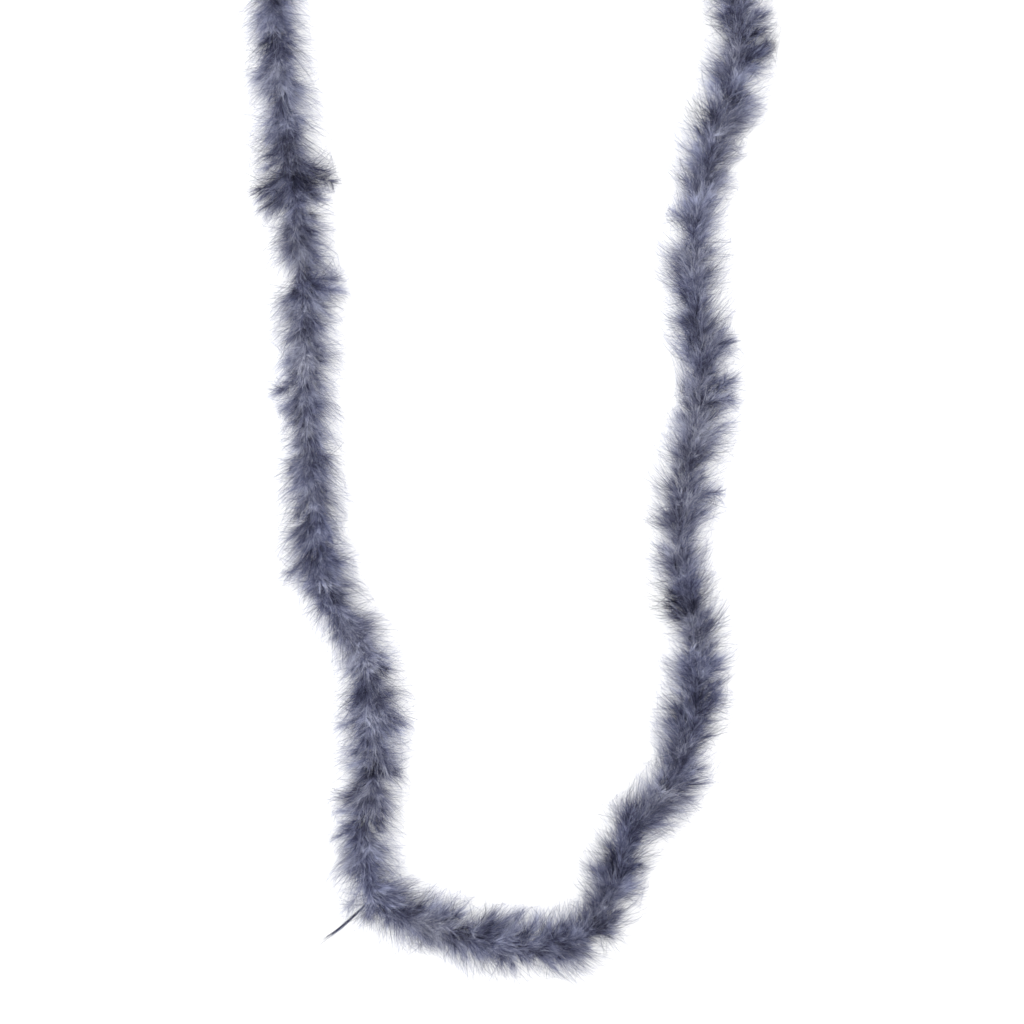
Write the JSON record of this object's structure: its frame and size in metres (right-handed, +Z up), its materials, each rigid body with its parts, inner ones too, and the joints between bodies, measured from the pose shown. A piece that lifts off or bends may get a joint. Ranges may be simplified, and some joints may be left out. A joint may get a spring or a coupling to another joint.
{
  "type": "feather boa",
  "caption": "Marabou feather boa laid in a tall U: a knotted core cord bound with thread and covered along its length by soft, swept plumes.",
  "frame": {"origin": "centre of the boa's box on the plane it rests on", "axes": "+Y along the tall U, from its round bottom to its two open ends; +X across it, from the left strand to the right one; +Z up from the table"},
  "size_m": [0.4239, 0.852, 0.038],
  "materials": {
    "plumes": "soft matt dyed marabou down, slate blue grey",
    "cord": "matt twisted cotton cord",
    "thread": "fine matt sewing thread"
  },
  "bodies": {
    "left_link_1": {"left_core_cord_1": "cord", "left_binding_thread_1": "thread", "left_plume_sleeve_1": "plumes", "left_end_knot": "cord", "left_cord_tail": "cord"},
    "left_link_2": {"left_core_cord_2": "cord", "left_binding_thread_2": "thread", "left_plume_sleeve_2": "plumes"},
    "left_link_3": {"left_core_cord_3": "cord", "left_binding_thread_3": "thread", "left_plume_sleeve_3": "plumes"},
    "left_link_4": {"left_core_cord_4": "cord", "left_binding_thread_4": "thread", "left_plume_sleeve_4": "plumes"},
    "left_link_5": {"left_core_cord_5": "cord", "left_binding_thread_5": "thread", "left_plume_sleeve_5": "plumes"},
    "left_link_6": {"left_core_cord_6": "cord", "left_binding_thread_6": "thread", "left_plume_sleeve_6": "plumes"},
    "left_link_7": {"left_core_cord_7": "cord", "left_binding_thread_7": "thread", "left_plume_sleeve_7": "plumes"},
    "bottom_link_1": {"bottom_core_cord_1": "cord", "bottom_binding_thread_1": "thread", "bottom_plume_sleeve_1": "plumes"},
    "bottom_link_2": {"bottom_core_cord_2": "cord", "bottom_binding_thread_2": "thread", "bottom_plume_sleeve_2": "plumes"},
    "bottom_link_3": {"bottom_core_cord_3": "cord", "bottom_binding_thread_3": "thread", "bottom_plume_sleeve_3": "plumes"},
    "right_link_1": {"right_core_cord_1": "cord", "right_binding_thread_1": "thread", "right_plume_sleeve_1": "plumes"},
    "right_link_2": {"right_core_cord_2": "cord", "right_binding_thread_2": "thread", "right_plume_sleeve_2": "plumes"},
    "right_link_3": {"right_core_cord_3": "cord", "right_binding_thread_3": "thread", "right_plume_sleeve_3": "plumes"},
    "right_link_4": {"right_core_cord_4": "cord", "right_binding_thread_4": "thread", "right_plume_sleeve_4": "plumes"},
    "right_link_5": {"right_core_cord_5": "cord", "right_binding_thread_5": "thread", "right_plume_sleeve_5": "plumes"},
    "right_link_6": {"right_core_cord_6": "cord", "right_binding_thread_6": "thread", "right_plume_sleeve_6": "plumes"},
    "right_link_7": {"right_core_cord_7": "cord", "right_binding_thread_7": "thread", "right_plume_sleeve_7": "plumes"},
    "right_link_8": {"right_core_cord_8": "cord", "right_binding_thread_8": "thread", "right_plume_sleeve_8": "plumes", "right_end_knot": "cord", "right_cord_tail": "cord"}
  },
  "joints": [
    {"name": "left_1_left_2_bend", "type": "hinge", "parent": "left_link_2", "child": "left_link_1", "pos_m": [-0.1845, 0.3225, 0.017], "axis": [0, 0, 1], "range_deg": [-60, 60]},
    {"name": "left_2_left_3_lift", "type": "hinge", "parent": "left_link_3", "child": "left_link_2", "pos_m": [-0.1736, 0.2185, 0.017], "axis": [0.9947, 0.1031, 0], "range_deg": [0, 30]},
    {"name": "left_3_left_4_bend", "type": "hinge", "parent": "left_link_4", "child": "left_link_3", "pos_m": [-0.1639, 0.1144, 0.017], "axis": [0, 0, -1], "range_deg": [-60, 60]},
    {"name": "left_4_left_5_lift", "type": "hinge", "parent": "left_link_5", "child": "left_link_4", "pos_m": [-0.1597, 0.01, 0.017], "axis": [0.9978, 0.0667, 0], "range_deg": [0, 30]},
    {"name": "left_5_left_6_bend", "type": "hinge", "parent": "left_link_6", "child": "left_link_5", "pos_m": [-0.1489, -0.0939, 0.017], "axis": [0, 0, 1], "range_deg": [-35, 60]},
    {"name": "left_6_left_7_lift", "type": "hinge", "parent": "left_link_7", "child": "left_link_6", "pos_m": [-0.1111, -0.1903, 0.017], "axis": [0.9875, 0.1573, 0], "range_deg": [0, 30]},
    {"name": "left_7_bottom_1_bend", "type": "hinge", "parent": "bottom_link_1", "child": "left_link_7", "pos_m": [-0.1129, -0.2945, 0.017], "axis": [0, 0, -1], "range_deg": [-60, 20]},
    {"name": "bottom_1_bottom_2_bend", "type": "hinge", "parent": "bottom_link_2", "child": "bottom_link_1", "pos_m": [-0.0813, -0.3762, 0.017], "axis": [0, 0, 1], "range_deg": [-20, 60]},
    {"name": "bottom_2_bottom_3_bend", "type": "hinge", "parent": "bottom_link_2", "child": "bottom_link_3", "pos_m": [0.0116, -0.4019, 0.017], "axis": [0, 0, 1], "range_deg": [-60, 20]},
    {"name": "bottom_3_right_1_bend", "type": "hinge", "parent": "bottom_link_3", "child": "right_link_1", "pos_m": [0.0823, -0.3533, 0.017], "axis": [0, 0, -1], "range_deg": [-20, 60]},
    {"name": "right_1_right_2_bend", "type": "hinge", "parent": "right_link_1", "child": "right_link_2", "pos_m": [0.1318, -0.2669, 0.017], "axis": [0, 0, 1], "range_deg": [-60, 25]},
    {"name": "right_2_right_3_lift", "type": "hinge", "parent": "right_link_2", "child": "right_link_3", "pos_m": [0.1519, -0.1694, 0.017], "axis": [0.9998, 0.0182, 0], "range_deg": [0, 30]},
    {"name": "right_3_right_4_bend", "type": "hinge", "parent": "right_link_3", "child": "right_link_4", "pos_m": [0.1381, -0.07, 0.017], "axis": [0, 0, -1], "range_deg": [-35, 60]},
    {"name": "right_4_right_5_lift", "type": "hinge", "parent": "right_link_4", "child": "right_link_5", "pos_m": [0.1532, 0.0294, 0.017], "axis": [0.9917, -0.1285, 0], "range_deg": [0, 30]},
    {"name": "right_5_right_6_bend", "type": "hinge", "parent": "right_link_5", "child": "right_link_6", "pos_m": [0.1485, 0.1298, 0.017], "axis": [0, 0, 1], "range_deg": [-60, 60]},
    {"name": "right_6_right_7_lift", "type": "hinge", "parent": "right_link_6", "child": "right_link_7", "pos_m": [0.1603, 0.2294, 0.017], "axis": [0.9623, -0.2721, 0], "range_deg": [0, 30]},
    {"name": "right_7_right_8_bend", "type": "hinge", "parent": "right_link_7", "child": "right_link_8", "pos_m": [0.184, 0.3265, 0.017], "axis": [0, 0, -1], "range_deg": [-60, 60]}
  ]
}
